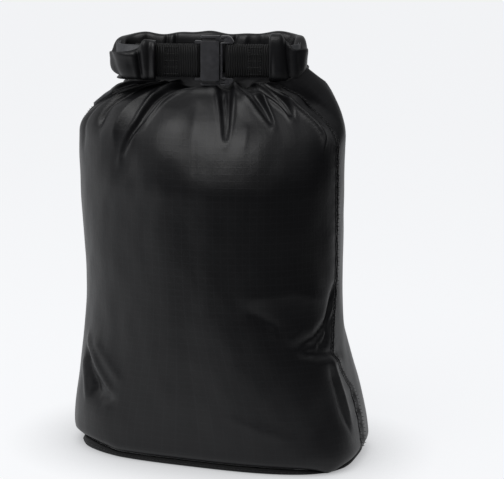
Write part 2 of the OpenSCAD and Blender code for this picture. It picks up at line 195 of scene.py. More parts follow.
def coated_ripstop(base):
    """Ripstop nylon, coated and calendered: a soft broad shine, with a faint grid of thicker threads."""
    material, tree, shader = new_material(
        "coated_ripstop", Roughness=0.42, IOR=1.5, Specular_IOR_Level=0.34
    )
    uv = add_node(tree, "ShaderNodeUVMap", uv_map="cloth")
    # The real grid is about 5 mm with 0.3 mm threads; the weave between is drawn at 0.9 mm so that it shows.
    grid_pitch, thread_pitch = 5.2 * MM, 0.9 * MM
    split = add_node(tree, "ShaderNodeSeparateXYZ", {"Vector": uv.outputs["UV"]})
    lines, threads = [], []
    for axis in ("X", "Y"):
        cell = add_node(tree, "ShaderNodeMath", {0: split.outputs[axis], 1: grid_pitch / 2}, operation="PINGPONG")
        line = map_range(tree, cell.outputs[0], (0.0, 0.45 * MM), (1.0, 0.0))
        lines.append(line)
        turn = add_node(
            tree, "ShaderNodeMath", {0: split.outputs[axis], 1: 2 * math.pi / thread_pitch}, operation="MULTIPLY"
        )
        threads.append(add_node(tree, "ShaderNodeMath", {0: turn.outputs[0]}, operation="SINE").outputs[0])
    grid = add_node(tree, "ShaderNodeMath", {0: lines[0], 1: lines[1]}, operation="MAXIMUM").outputs[0]
    weave = add_node(tree, "ShaderNodeMath", {0: threads[0], 1: threads[1]}, operation="MULTIPLY").outputs[0]
    coords = add_node(tree, "ShaderNodeTexCoord").outputs["Object"]
    crinkle = add_node(
        tree, "ShaderNodeTexNoise", {"Vector": coords, "Scale": 55.0, "Detail": 4.0, "Roughness": 0.55}
    )
    smudge = add_node(tree, "ShaderNodeTexNoise", {"Vector": coords, "Scale": 9.0, "Detail": 3.0})
    tone = varied(tree, shade(base, 0.85), shade(base, 1.25), smudge.outputs["Fac"], (0.35, 0.65))
    # Sockets 6, 7 and output 2 of a Mix node are its colours.
    lit = add_node(tree, "ShaderNodeMix", {"Factor": grid, 6: tone, 7: shade(base, 1.7)}, data_type="RGBA")
    tree.links.new(lit.outputs[2], shader.inputs["Base Color"])
    rough = map_range(tree, smudge.outputs["Fac"], (0.0, 1.0), (0.36, 0.46))
    tree.links.new(rough, shader.inputs["Roughness"])
    height = add_node(tree, "ShaderNodeMath", {0: grid, 1: 0.5, 2: 0.0}, operation="MULTIPLY_ADD")
    fine = add_node(tree, "ShaderNodeMath", {0: weave, 1: 0.18, 2: height.outputs[0]}, operation="MULTIPLY_ADD")
    bump = add_node(tree, "ShaderNodeBump", {"Height": fine.outputs[0], "Strength": 0.35, "Distance": 0.12 * MM})
    soft = add_node(
        tree,
        "ShaderNodeBump",
        {
            "Height": crinkle.outputs["Fac"],
            "Strength": 0.35,
            "Distance": 1.2 * MM,
            "Normal": bump.outputs["Normal"],
        },
    )
    tree.links.new(soft.outputs["Normal"], shader.inputs["Normal"])
    return material


def ribbed_webbing(base):
    """Polyester webbing, woven in cross ribs: matt, with a fine fibre tone that varies at random."""
    material, tree, shader = new_material(
        "ribbed_webbing", Roughness=0.65, Sheen_Weight=0.02, Specular_IOR_Level=0.35
    )
    coords = add_node(tree, "ShaderNodeTexCoord").outputs["Object"]
    fibre = add_node(tree, "ShaderNodeTexNoise", {"Vector": coords, "Scale": 1400.0, "Detail": 3.0})
    tone = varied(tree, shade(base, 0.7), shade(base, 1.9), fibre.outputs["Fac"], (0.3, 0.7))
    tree.links.new(tone, shader.inputs["Base Color"])
    bump = add_node(
        tree, "ShaderNodeBump", {"Height": fibre.outputs["Fac"], "Strength": 0.5, "Distance": 0.2 * MM}
    )
    tree.links.new(bump.outputs["Normal"], shader.inputs["Normal"])
    return material


def bonded_thread(base):
    """Bonded polyester thread, twisted: a slight lustre."""
    material, tree, shader = new_material("bonded_thread", Roughness=0.5, Sheen_Weight=0.2)
    coords = add_node(tree, "ShaderNodeTexCoord").outputs["Object"]
    ply = add_node(tree, "ShaderNodeTexNoise", {"Vector": coords, "Scale": 900.0, "Detail": 2.0})
    tone = varied(tree, shade(base, 0.8), shade(base, 1.5), ply.outputs["Fac"], (0.4, 0.6))
    tree.links.new(tone, shader.inputs["Base Color"])
    return material


def moulded_acetal(base):
    """Acetal, injection moulded in a finely spark-eroded tool: satin, with a faint grain."""
    material, tree, shader = new_material("moulded_acetal", Roughness=0.4, IOR=1.48)
    coords = add_node(tree, "ShaderNodeTexCoord").outputs["Object"]
    grain = add_node(tree, "ShaderNodeTexNoise", {"Vector": coords, "Scale": 2200.0, "Detail": 2.0})
    wear = add_node(tree, "ShaderNodeTexNoise", {"Vector": coords, "Scale": 220.0, "Detail": 3.0})
    tree.links.new(
        varied(tree, shade(base, 0.9), shade(base, 1.25), wear.outputs["Fac"], (0.4, 0.65)),
        shader.inputs["Base Color"],
    )
    rough = map_range(tree, wear.outputs["Fac"], (0.0, 1.0), (0.36, 0.48))
    tree.links.new(rough, shader.inputs["Roughness"])
    bump = add_node(
        tree, "ShaderNodeBump", {"Height": grain.outputs["Fac"], "Strength": 0.25, "Distance": 0.05 * MM}
    )
    tree.links.new(bump.outputs["Normal"], shader.inputs["Normal"])
    return material


def sealed_tape(base):
    """Three-layer seam tape, melted on: a dull grey film."""
    material, tree, shader = new_material("sealed_tape", Roughness=0.55)
    coords = add_node(tree, "ShaderNodeTexCoord").outputs["Object"]
    film = add_node(tree, "ShaderNodeTexNoise", {"Vector": coords, "Scale": 300.0, "Detail": 3.0})
    tone = varied(tree, shade(base, 0.8), shade(base, 1.2), film.outputs["Fac"], (0.4, 0.6))
    tree.links.new(tone, shader.inputs["Base Color"])
    return material


# ---------------------------------------------------------------- mesh helpers


def new_object(name, mesh):
    made = bpy.data.objects.new(name, mesh)
    bpy.context.scene.collection.objects.link(made)
    return made


def grid_mesh(name, points, uv=None, closed=False, smooth=True):
    """A mesh of quads over rows and columns of points, with an optional UV map of flat-cloth metres."""
    rows, cols = points.shape[:2]
    mesh = bpy.data.meshes.new(name)
    across = np.arange(cols if closed else cols - 1)
    i, j = np.meshgrid(np.arange(rows - 1), across, indexing="ij")
    k = (j + 1) % cols
    faces = np.stack([i * cols + j, i * cols + k, (i + 1) * cols + k, (i + 1) * cols + j], -1).reshape(-1, 4)
    mesh.from_pydata(points.reshape(-1, 3).tolist(), [], faces.tolist())
    if uv is not None:
        layer = mesh.uv_layers.new(name="cloth")
        layer.data.foreach_set("uv", uv.reshape(-1, 2)[faces.ravel()].astype(np.float32).ravel())
    if smooth:
        mesh.shade_smooth()
    mesh.update()
    return mesh


def apply_modifiers(obj):
    """Turns the modified object into a plain mesh and removes its modifiers."""
    bpy.context.view_layer.update()
    graph = bpy.context.evaluated_depsgraph_get()
    evaluated = obj.evaluated_get(graph)
    baked = bpy.data.meshes.new_from_object(evaluated, preserve_all_data_layers=True, depsgraph=graph)
    baked.name = obj.data.name + "_applied"
    obj.modifiers.clear()
    obj.data = baked
    return obj


def thicken(obj, thickness):
    """Gives a sheet its thickness, towards its inside."""
    solid = obj.modifiers.new("cloth", "SOLIDIFY")
    solid.thickness, solid.offset, solid.use_even_offset = thickness, -1.0, False
    return apply_modifiers(obj)


def dress(obj, material, body, nodes=()):
    """Gives a finished piece its material and body, and hides the CAD nodes it stands for."""
    obj.data.materials.clear()
    obj.data.materials.append(material)
    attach(obj, body)
    if nodes:
        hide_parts(*nodes)
    return obj


def material_named(name):
    return bpy.data.materials[name]


# ---------------------------------------------------------------- the sack's shape


def mix(a, b, t):
    return a + (b - a) * t


def ease(t):
    c = np.clip(t, 0, 1)
    return c * c * (3 - 2 * c)


def bump_at(x, centre, width):
    return np.exp(-(((x - centre) / width) ** 2))


def loop_line(roll):
    """Middle line of the roll, from its left end round the back to its right end, as points and distances."""
    half_x, half_y = (RING_W - roll.thickness) / 2, (RING_D - roll.thickness) / 2
    cx, cy, r = half_x - roll.bend_r, half_y - roll.bend_r, roll.bend_r
    pts = [(roll.left_wrap - RING_W / 2, -half_y)]
    for mx, my, start in ((-cx, -cy, 270), (-cx, cy, 180), (cx, cy, 90), (cx, -cy, 0)):
        for a in np.radians(np.linspace(start, start - 90, 17)):
            pts.append((mx + r * math.cos(a), my + r * math.sin(a)))
    pts.append((RING_W / 2 - roll.right_wrap, -half_y))
    pts = np.array(pts) + [LOOP_X, 0]
    at = np.concatenate([[0], np.cumsum(np.linalg.norm(np.diff(pts, axis=0), axis=1))])
    return pts, at


def on_loop(line, share, out=0.0):
    """Points at shares of the loop's length, moved outwards by out."""
    pts, at = line
    d = share * at[-1]

    def spot(x):
        x = np.clip(x, 0, at[-1])
        return np.stack([np.interp(x, at, pts[:, 0]), np.interp(x, at, pts[:, 1])], -1)

    t = spot(d + 1.5 * MM) - spot(d - 1.5 * MM)
    t /= np.linalg.norm(t, axis=-1, keepdims=True)
    return spot(d) + np.asarray(out)[..., None] * np.stack([-t[..., 1], t[..., 0]], -1)


class SackShape:
    """The sack's outer surface, at a share s across a panel and at rows from the floor to the roll."""

    def __init__(self, sack, roll):
        self.k, self.line = sack, loop_line(roll)
        self.neck_z = COLLAR_Z - 1.2 * MM
        self.shoulder_z = COLLAR_Z - 44 * MM
        self.slope_z = sack.chest_z - 10 * MM
        self.half_y = (RING_D - roll.thickness) / 2
        self.tips = self.line[0][0, 0], self.line[0][-1, 0]
        self.neck_out = roll.thickness / 2 - 3 * MM

    def section(self, angle, z, inset):
        k = self.k
        low = ease((z - k.edge_r) / (k.waist_z - k.edge_r)) ** 0.72
        high = ease((z - k.waist_z) / (k.chest_z - k.waist_z))
        half_w = mix(mix(k.base_w, k.waist_w, low), k.chest_w, high) / 2 - inset
        half_d = mix(mix(k.base_d, k.waist_d, low), k.chest_d, high) / 2 - inset
        p = 2 / mix(3.0, 2.1, ease(z / k.waist_z))
        x = half_w * np.sign(np.cos(angle)) * np.abs(np.cos(angle)) ** p
        y = half_d * np.sign(np.sin(angle)) * np.abs(np.sin(angle)) ** p
        c, s = math.cos(k.turn), math.sin(k.turn)
        return x * c - y * s + k.chest_x * ease(z / k.chest_z), x * s + y * c

    def point(self, s, z, inset=0.0, under=0.0, back=False):
        """A point on the front or back panel; under is the share of the way from the neck to the roll."""
        s, z = np.broadcast_arrays(np.asarray(s, float), np.asarray(z, float))
        ex, ey = self.section(math.pi * (1 - s if back else 1 + s), z, inset)
        edge = np.minimum(s, 1 - s)
        lift = np.zeros(s.shape)
        if back:
            # Drawn in under the left bend, and pulled up outside the right one.
            pull = 11 * MM * bump_at(s, 0.17, 0.10)
            ear = bump_at(s, 0.88, 0.055)
            neck = on_loop(self.line, s, self.neck_out * ease(edge / 0.06) - pull + 3.5 * MM * ear)
            kx, ky = neck[..., 0], neck[..., 1]
            lift = 13 * MM * ear
        else:
            kx, ky = mix(*self.tips, s), mix(-self.half_y, 9 * MM - self.half_y, ease(edge / 0.3))
            kx = kx + 8 * MM * bump_at(s, 0.0, 0.08)
        rise = np.clip((z - self.shoulder_z) / (self.neck_z - self.shoulder_z), 0, 1)
        gx = 1 - np.maximum(0, 1 - rise**2) ** mix(0.62, 1.0, ease((s - 0.6) / 0.3))
        slope = np.clip((z - self.slope_z) / (self.neck_z - self.slope_z), 0, 1)
        gy = 1 - np.maximum(0, 1 - slope**1.6) ** 0.83
        x, y = mix(ex, kx, gx), mix(ey, ky, gy)
        if not back:
            roof = on_loop(self.line, s, mix(-4 * MM, 0.8 * MM, ease(edge / 0.15)))
            x, y = mix(x, roof[..., 0], under), mix(y, roof[..., 1], under)
        return np.stack([x, y, mix(z + lift * rise, COLLAR_Z, under)], -1)


def sack_rows(shape):
    """Rows of the sack: height, inset and share of the way under the roll."""
    r = shape.k.edge_r
    rows = [(r * (1 - math.cos(a)), r * (1 - math.sin(a)), 0.0) for a in np.radians(np.linspace(0, 80, 9))]
    rows += [(z, 0.0, 0.0) for z in np.linspace(r, shape.shoulder_z, 92)]
    rise = np.sin(np.linspace(0, math.pi / 2, 37)[1:])
    rows += [(mix(shape.shoulder_z, shape.neck_z, t), 0.0, 0.0) for t in rise]
    rows += [(shape.neck_z, 0.0, t) for t in np.linspace(0, 1, 9)[1:]]
    return np.array(rows)


def grid_normals(p):
    """Outward normals of a closed tube of points, rows upward and columns anticlockwise from the left seam."""
    up = np.gradient(p, axis=0)
    along = np.roll(p, -1, axis=1) - np.roll(p, 1, axis=1)
    n = np.cross(along, up)
    return n / np.maximum(np.linalg.norm(n, axis=-1, keepdims=True), 1e-9)


class Folds:
    """Adds creases to a grid of points: each follows a line drawn on the panel from one spot to another."""

    def __init__(self, shape, points):
        self.shape, self.p = shape, points
        self.n = grid_normals(points)
        self.d = np.zeros(points.shape[:2])

    def along(self, spots, back=False):
        """For every point: its share along the line through the spots (s, z), and its signed distance."""
        t = np.linspace(0, 1, 40)
        ts = np.linspace(0, 1, len(spots))
        s = np.interp(t, ts, [q[0] for q in spots])
        z = np.interp(t, ts, [q[1] * MM for q in spots])
        line = self.shape.point(s, np.minimum(z, self.shape.neck_z), 0.0, 0.0, back)
        flat = self.p.reshape(-1, 3)
        near = np.linalg.norm(flat[:, None, :] - line[None], axis=-1).argmin(1)
        gap = flat - line[near]
        tangent = np.gradient(line, axis=0)
        tangent /= np.maximum(np.linalg.norm(tangent, axis=-1, keepdims=True), 1e-9)
        side = np.cross(self.n.reshape(-1, 3), tangent[near])
        past = (gap * tangent[near]).sum(-1)
        away = np.sqrt(np.maximum((gap**2).sum(-1) - past**2, 0))
        u = away * np.sign((gap * side).sum(-1))
        length = np.linalg.norm(np.diff(line, axis=0), axis=1).sum()
        share = t[near] + np.where((near == 0) | (near == len(t) - 1), past / length, 0)
        return share.reshape(self.d.shape), u.reshape(self.d.shape)

    def pocket(self, spots, depth, width, lip=0.25, inner=0.0, back=False):
        """A pleat, open at its top and closing to a point: a steep V-shaped hollow with a raised rim round it.
        Where inner is given, a rib of that share of the depth runs down its middle."""
        t, u = self.along(spots, back)
        live = ease((1.05 - t) / 0.07) * (t > -0.6)
        open_w = width * (0.28 + 0.72 * np.clip(1 - t, 0, 1.4) ** 0.8)
        x = np.abs(u) / open_w
        hollow = np.clip(1 - x**1.4, 0, 1)
        rib = inner * np.clip(1 - x / 0.42, 0, 1)
        rim = np.exp(-(((x - 1.2) / 0.3) ** 2))
        past = np.exp(-(((t - 1.07) / 0.05) ** 2)) * np.exp(-((x / 1.2) ** 2))
        fall = 0.45 + 0.55 * np.clip(1 - t, 0, 1)
        self.d += MM * depth * (live * fall * (lip * rim - hollow + rib) + 0.5 * lip * past)

    def ridge(self, spots, height, width, one_sided=0.0, back=False):
        """A crease: raised when height is positive, pressed in when negative, fading at both ends."""
        t, u = self.along(spots, back)
        fade = ease(t / 0.25 + 0.35) * ease((1.15 - t) / 0.4) * (t > -0.4) * (t < 1.2)
        w = width * MM * (1 + one_sided * np.sign(u))
        self.d += fade * height * MM * np.exp(-np.abs(u) / w)

    def swell(self, spot, height, radius, back=False):
        """A soft round bulge or hollow."""
        centre = self.shape.point(spot[0], spot[1] * MM, back=back)
        r = np.linalg.norm(self.p - centre, axis=-1) / (radius * MM)
        self.d += height * MM * np.exp(-(r**2))

    def done(self, under):
        return self.p + self.n * (self.d * (1 - under) ** 2)[..., None]


def smooth_grid(p, passes, weight, keep):
    """Evens the grid a little, except where keep is 1."""
    for _ in range(passes):
        mean = (np.roll(p, 1, 1) + np.roll(p, -1, 1)) / 2
        rowwise = p.copy()
        rowwise[1:-1] = (p[2:] + p[:-2]) / 2
        target = (mean + rowwise) / 2
        p = p + (target - p) * weight * (1 - keep)[..., None]
    return p


def crinkles(p, n, amount):
    """Small irregular waves of stuffed cloth, from seeded noise, longer upward than across."""
    shifts = np.zeros(p.shape[:2])
    for i in range(p.shape[0]):
        for j in range(p.shape[1]):
            q = p[i, j]
            shifts[i, j] = noise.noise(Vector((q[0] * 38 + 3.1, q[1] * 38, q[2] * 14 + 7.7)))
            shifts[i, j] += 0.45 * noise.noise(Vector((q[0] * 80, q[1] * 80 + 5.3, q[2] * 46)))
    return p + n * (shifts * amount)[..., None] * MM


WANDER = [0, 0, 0.005, 0.05, 0.088, 0.06, 0.036, 0.045, 0.04, 0]


def sack_points(settings):
    """The finished surface of the sack, with its rows, columns and flat-cloth coordinates."""
    sack = settings.sack
    shape = SackShape(sack, settings.roll)
    rows = sack_rows(shape)
    cols = sack.columns
    s = np.linspace(0, 1, cols + 1)
    z, inset, under = rows[:, 0:1], rows[:, 1:2], rows[:, 2:3]
    # The right seam wanders on to the front, most of all where the sack slumps.
    sigma = np.concatenate([s[:-1], 1 + s[:-1]])[None]
    wander = np.interp(z, np.array([0, 40, 58, 74, 92, 112, 132, 240, 265, 285]) * MM, WANDER)
    sigma = sigma - wander * bump_at(sigma, 1.0, 0.16) * (1 - under)
    front = shape.point(np.clip(sigma, 0, 1), z, inset, under)
    back = shape.point(np.clip(2 - sigma, 0, 1), z, inset, under, back=True)
    p = np.where((sigma < 1)[..., None], front, back)
    folds = Folds(shape, p)
    front_folds(folds)
    lower_folds(folds)
    back_folds(folds)
    p = folds.done(under)
    keep = np.repeat(((rows[:, 0] < 8 * MM) | (rows[:, 2] > 0.8)).astype(float)[:, None], p.shape[1], 1)
    p = smooth_grid(p, 2, 0.4, keep)
    top = ease((rows[:, 0] - 280 * MM) / (7 * MM)) * (rows[:, 2] < 0.9)
    p = smooth_grid(p, 14, 0.7, 1 - np.repeat(top[:, None], p.shape[1], 1))
    n = grid_normals(p)
    loose = ease(rows[:, 0] / (30 * MM)) * (1 - rows[:, 2])
    p = crinkles(p, n, 0.9 * loose[:, None])
    p = seams(p, rows, cols)
    # The panels' lower edge stands off the floor on its bound seam, except where the stuffing pushes it down.
    girth = np.concatenate([s[:-1], 1 + s[:-1]])
    stand = ease((girth - 0.08) / 0.1) * ease((1.3 - girth) / 0.2) * (1 - 0.85 * bump_at(girth, 0.83, 0.045))
    p[..., 2] = np.maximum(p[..., 2], 0.0) + 3.6 * MM * stand * (1 - ease(z / (22 * MM))) * (1 - under)
    half_w = settings.sack.base_w * 1.27
    length = np.concatenate([[0], np.cumsum(np.linalg.norm(np.diff(p[:, cols // 2], axis=0), axis=1))])
    across = np.concatenate([s[:-1], 1 + s[:-1]]) * half_w
    uv = np.stack(np.broadcast_arrays(across[None], length[:, None]), -1)
    return rows, p, uv


def front_folds(folds):
    """The gathers of the front panel under the buckle, and the slack cloth round them."""
    folds.swell((0.49, 262), 4.0, 26.0)
    folds.swell((0.46, 236), 2.0, 26.0)
    folds.swell((0.66, 246), 2.5, 20.0)
    folds.swell((0.66, 278), 3.0, 9.0)
    folds.swell((0.30, 268), 4.0, 18.0)
    long_pleat = [(0.385, 292), (0.392, 285), (0.402, 271), (0.40, 262), (0.38, 252), (0.357, 240)]
    folds.pocket(long_pleat, 7.5, 5.6 * MM, 0.3, 0.5)
    folds.pocket([(0.598, 294), (0.60, 286), (0.603, 270), (0.603, 253)], 8.0, 7.4 * MM, 0.3, 0.8)
    folds.pocket([(0.695, 294), (0.702, 285), (0.712, 274), (0.722, 264)], 7.0, 7.2 * MM, 0.35, 0.45)
    folds.pocket([(0.86, 294), (0.85, 287), (0.825, 278), (0.80, 269)], 8.0, 8.0 * MM, 0.35, 0.5)
    shoulder_crease = [(0.905, 292), (0.88, 284), (0.866, 274), (0.876, 265), (0.885, 254), (0.88, 244)]
    folds.ridge(shoulder_crease, 4.5, 3.2, 0.35)
    folds.ridge([(0.93, 288), (0.915, 274), (0.925, 262)], -4.0, 4.0)
    folds.ridge([(0.985, 280), (0.965, 264), (0.95, 250)], -4.0, 5.0)
    folds.ridge([(0.20, 290), (0.24, 272), (0.27, 256)], -6.0, 4.5)
    folds.ridge([(0.07, 284), (0.12, 264), (0.17, 240)], -4.0, 6.0)
    folds.ridge([(0.32, 290), (0.335, 268), (0.33, 246)], 2.0, 5.0)
    folds.swell((0.365, 230), -2.0, 12.0)
    folds.ridge([(0.525, 276), (0.535, 224)], -1.2, 5.0)
    folds.ridge([(0.655, 262), (0.645, 246)], 1.2, 3.0)


def lower_folds(folds):
    """The creases of the front panel near the base, where the stuffing has slumped."""
    folds.ridge([(0.955, 140), (0.90, 114), (0.84, 105), (0.77, 99)], -4.4, 4.5, 0.5)
    folds.ridge([(0.95, 128), (0.90, 108), (0.83, 99), (0.76, 95)], 2.4, 2.4)
    folds.ridge([(0.93, 118), (0.88, 101), (0.84, 97)], -1.8, 2.2)
    folds.ridge([(0.75, 97), (0.83, 91), (0.90, 90), (0.97, 86)], -3.0, 2.4)
    folds.ridge([(0.77, 90), (0.86, 85), (0.95, 82)], 1.8, 3.2)
    folds.ridge([(0.90, 84), (0.93, 60), (0.95, 34)], 2.0, 3.4)
    folds.ridge([(0.88, 78), (0.90, 56), (0.93, 30)], -2.4, 4.0)
    folds.ridge([(0.64, 136), (0.78, 140), (0.90, 130)], 1.6, 7.0)
    folds.ridge([(0.65, 128), (0.72, 116), (0.74, 106)], -2.0, 4.5)
    folds.ridge([(0.70, 112), (0.76, 106), (0.80, 112)], 1.6, 2.6)
    folds.ridge([(0.19, 92), (0.25, 78), (0.31, 62), (0.355, 52)], 3.6, 2.2)
    folds.ridge([(0.235, 92), (0.31, 76), (0.375, 62)], 1.8, 3.0)
    folds.ridge([(0.185, 80), (0.24, 64), (0.285, 52)], -5.5, 3.4)
    folds.ridge([(0.17, 74), (0.21, 58), (0.235, 44)], 2.2, 1.8)
    folds.ridge([(0.25, 52), (0.31, 47), (0.36, 50)], -3.0, 3.2)
    folds.swell((0.29, 52), -3.0, 12.0)
    folds.swell((0.34, 30), 2.0, 24.0)
    folds.ridge([(0.03, 1), (0.10, 1), (0.20, 1), (0.34, 1)], -8.0, 7.0)
    folds.swell((0.86, 4), 3.2, 30.0)
    folds.swell((0.80, 70), 1.8, 26.0)
    folds.ridge([(0.55, 44), (0.62, 34), (0.68, 30)], 0.8, 3.0)


def back_folds(folds):
    """The gathers of the back panel under the roll, and slack cloth down its sides."""
    for s, lean, low, deep, wide in (
        (0.13, 0.045, 250, 3.0, 5.0),
        (0.24, 0.015, 232, 5.0, 6.0),
        (0.345, -0.01, 264, 3.2, 8.5),
        (0.47, 0.012, 241, 5.5, 5.5),
        (0.545, -0.02, 268, 2.8, 4.0),
        (0.67, -0.03, 226, 4.6, 7.5),
        (0.78, -0.02, 258, 3.8, 4.5),
        (0.87, -0.05, 238, 4.4, 6.0),
    ):
        folds.pocket([(s, 291), (s + 0.4 * lean, 276), (s + lean, low)], deep, wide * MM, 0.3, back=True)
    folds.ridge([(0.08, 250), (0.14, 190), (0.10, 130)], -2.5, 9.0, back=True)
    folds.ridge([(0.90, 240), (0.84, 180), (0.90, 110)], -2.5, 9.0, back=True)
    folds.ridge([(0.06, 96), (0.25, 78), (0.40, 84)], -3.0, 7.0, 0.4, back=True)
    folds.ridge([(0.95, 110), (0.80, 84), (0.66, 80)], -3.5, 7.0, 0.4, back=True)
    folds.swell((0.5, 150), 3.0, 60.0, back=True)
    folds.swell((0.93, 88), -3.4, 44.0, back=True)


def seams(p, rows, cols):
    """Presses a narrow line along both side seams, and puckers the cloth beside them."""
    n = grid_normals(p)
    z = rows[:, 0:1]
    total = p.shape[1]
    j = np.arange(total)
    live = ease(z / (14 * MM)) * (1 - rows[:, 2:3])
    for column in (0, cols):
        steps = np.abs((j - column + total / 2) % total - total / 2)[None]
        pucker = np.sin(z * 2 * math.pi / (11 * MM) + np.sin(z * 60) * 1.4) * np.exp(-steps / 2.2)
        p = p + n * (live * (pucker * 0.5 - 1.5 * np.exp(-((steps / 0.8) ** 2))))[..., None] * MM
    return p


# ---------------------------------------------------------------- the roll's shape


def roll_points(roll, line):
    """The rolled mouth: one sheet wound in a flattened spiral, swept along the loop, with its ends left open."""
    length = line[1][-1]
    along = np.linspace(0, 1, 300)
    around = np.linspace(-math.pi / 2, roll.turns * 2 * math.pi, int(40 * roll.turns) + 11)
    d = (along * length / MM)[:, None]
    e = (length / MM) - d
    layer = 1.25 * MM * (around + math.pi / 2) / (2 * math.pi)
    half_t = np.maximum(roll.thickness / 2 + 0.6 * MM - layer, 1.0 * MM)
    half_h = ROLL_H / 2 - layer
    c, v = np.cos(around), np.sin(around)
    out = np.broadcast_to(half_t * np.sign(c) * np.abs(c) ** 0.62, (len(along), len(around))).copy()
    up = np.broadcast_to(half_h * np.sign(v) * np.abs(v) ** 0.8, out.shape).copy()
    high = up / (ROLL_H / 2)
    face = np.clip(out / (roll.thickness / 2), -1, 1)
    top = ease(high * 1.3 + 0.1)
    outer = np.exp(-np.maximum(layer - 0.6 * MM, 0) / (1.5 * MM))[None]
    # The mouth buckles open at both of its bends: the outer turn leans out and the middle drops.
    gape_l = ease((d - 7) / 9) * ease((60 - d) / 26)
    gape_r = ease((e - 13) / 5) * ease((46 - e) / 22)
    gape = np.maximum(gape_l, 0.85 * gape_r)
    out += MM * gape * top * 1.4 * face * np.abs(face)
    valley = np.clip(1 - (face / 0.92) ** 2, 0, 1) ** 0.7
    up -= MM * gape * np.clip(high, 0, 1) * 11.0 * valley
    dip_l = ease((d - 6) / 22) * ease((66 - d) / 20)
    up -= MM * np.clip(high, 0, 1) ** 2 * np.clip(face, 0, 1) * (5.5 * dip_l + 1.5 * gape_r)
    up -= MM * 2.5 * np.clip(high, 0, 1) * bump_at(d, 50, 14)
    up += MM * 2.4 * np.clip(high, 0, 1) * ease((d - 66) / 22) * ease((e - 30) / 22)
    low = np.clip(-high, 0, 1) ** 3
    up += MM * 4.5 * low * bump_at(d, 42, 17)
    out -= MM * 3.0 * low * bump_at(d, 42, 17) * np.clip(face, 0, 1)
    # The left end: a last soft lobe, a slanting crease, and a small eye between it and the bend.
    lobe = ease((d + 1) / 2) * ease((12.5 - d) / 4)
    front = np.clip(face, 0, 1)
    out += MM * 1.6 * lobe * front * outer * (1 - 0.4 * high**2)
    slant = d - 12.5 - 2.2 * high
    out -= MM * 3.2 * front * outer * np.exp(-np.abs(slant) / 1.6)
    out += MM * 1.0 * front * outer * bump_at(slant, 3.4, 1.8)
    out -= MM * 5.0 * front * outer * bump_at(d, 17.5, 3.8) * bump_at(high, 0.62, 0.17)
    out += MM * 1.6 * front * outer * bump_at(d, 18.0, 5.5) * bump_at(high, 0.36, 0.12)
    up += MM * 3.2 * bump_at(d, 9.0, 3.0) * top * front
    out += MM * 1.4 * front * outer * np.exp(-np.abs(d - 1.2) / 1.0)
    out -= MM * 1.2 * front * outer * bump_at(d, 4.6, 1.6)
    out -= MM * 1.6 * front * outer * bump_at(d - 5 * high, 31.0, 3.0)
    # The right end: a standing lobe beside the webbing, and a deep crease behind it.
    stand = ease((e + 1.5) / 3) * ease((13.0 - e) / 5)
    up += MM * 6.5 * stand * top
    out += MM * 2.2 * stand * front * outer
    fold = e - 13.0 + 1.8 * high
    out -= MM * 3.6 * front * outer * np.exp(-np.abs(fold) / 1.5)
    out += MM * 1.2 * front * outer * bump_at(fold, 3.6, 1.8)
    out -= MM * 1.5 * front * outer * bump_at(e, 2.0, 1.4) * ease(0.6 - high)
    out += MM * 0.9 * front * outer * bump_at(e - 4 * high, 24.0, 4.0)
    # The back straight: upright creases on the inner face, and a slight sag between them.
    inside = np.clip(-face, 0, 1) * outer
    for centre, deep, width, lean in (
        (100.0, 2.4, 1.5, 1.0),
        (108.0, 2.0, 1.3, -0.6),
        (104.0, -1.6, 2.4, 0.4),
        (150.0, 2.6, 1.6, 5.0),
        (158.0, -1.6, 3.0, 4.0),
        (128.0, -0.8, 8.0, 0.0),
        (84.0, 1.6, 3.0, 2.0),
        (176.0, 1.8, 3.0, -2.0),
    ):
        out += MM * deep * inside * bump_at(d - lean * high, centre, width)
    outside = np.clip(face, 0, 1) * outer
    for centre, deep, width, lean in (
        (88, 1.6, 2.0, 2.0),
        (104, 1.2, 2.6, -2.0),
        (126, 1.8, 2.0, 3.0),
        (149, 1.3, 2.4, -1.0),
        (170, 1.7, 2.0, 2.5),
        (62, 1.2, 3.0, 1.0),
        (205, 1.3, 3.0, -1.0),
    ):
        out -= MM * deep * outside * bump_at(d - lean * high, centre, width)
    up += MM * 0.9 * np.sin(d / 9.5 + 0.8) * top + MM * 0.5 * np.sin(d / 4.1) * top
    share = np.repeat(along[:, None], len(around), 1)
    flat = on_loop(line, share, out)
    p = np.concatenate([flat, (ROLL_MID_Z + up)[..., None]], -1)
    shift = np.array(
        [[noise.noise(Vector((q[0] * 55, q[1] * 55, q[2] * 40))) for q in row] for row in p]
    )
    n = grid_normals(p)
    p = p - n * (shift * 0.55 * MM * outer)[..., None]
    girth = np.concatenate([[0], np.cumsum(np.hypot(np.diff(half_t * c), np.diff(half_h * v)))])
    uv = np.stack(np.broadcast_arrays((along * length)[:, None], girth[None]), -1)
    return p, uv


# ---------------------------------------------------------------- webbing and stitches


def band_mesh(name, path, z0, z1, thickness, steps):
    """A band standing on edge along a path seen from above, closed all round."""
    t = np.gradient(path, axis=0)
    t /= np.linalg.norm(t, axis=1, keepdims=True)
    side = np.stack([-t[:, 1], t[:, 0]], -1) * thickness / 2
    z = np.linspace(z0, z1, steps)
    ring = [(side, zz) for zz in z] + [(-side, zz) for zz in z[::-1]]
    p = np.array([np.column_stack([path + off, np.full(len(path), zz)]) for off, zz in ring]).transpose(1, 0, 2)
    mesh = grid_mesh(name, p, closed=True)
    import bmesh

    shape = bmesh.new()
    shape.from_mesh(mesh)
    bmesh.ops.holes_fill(shape, edges=[e for e in shape.edges if e.is_boundary])
    bmesh.ops.recalc_face_normals(shape, faces=shape.faces)
    shape.to_mesh(mesh)
    shape.free()
    return mesh


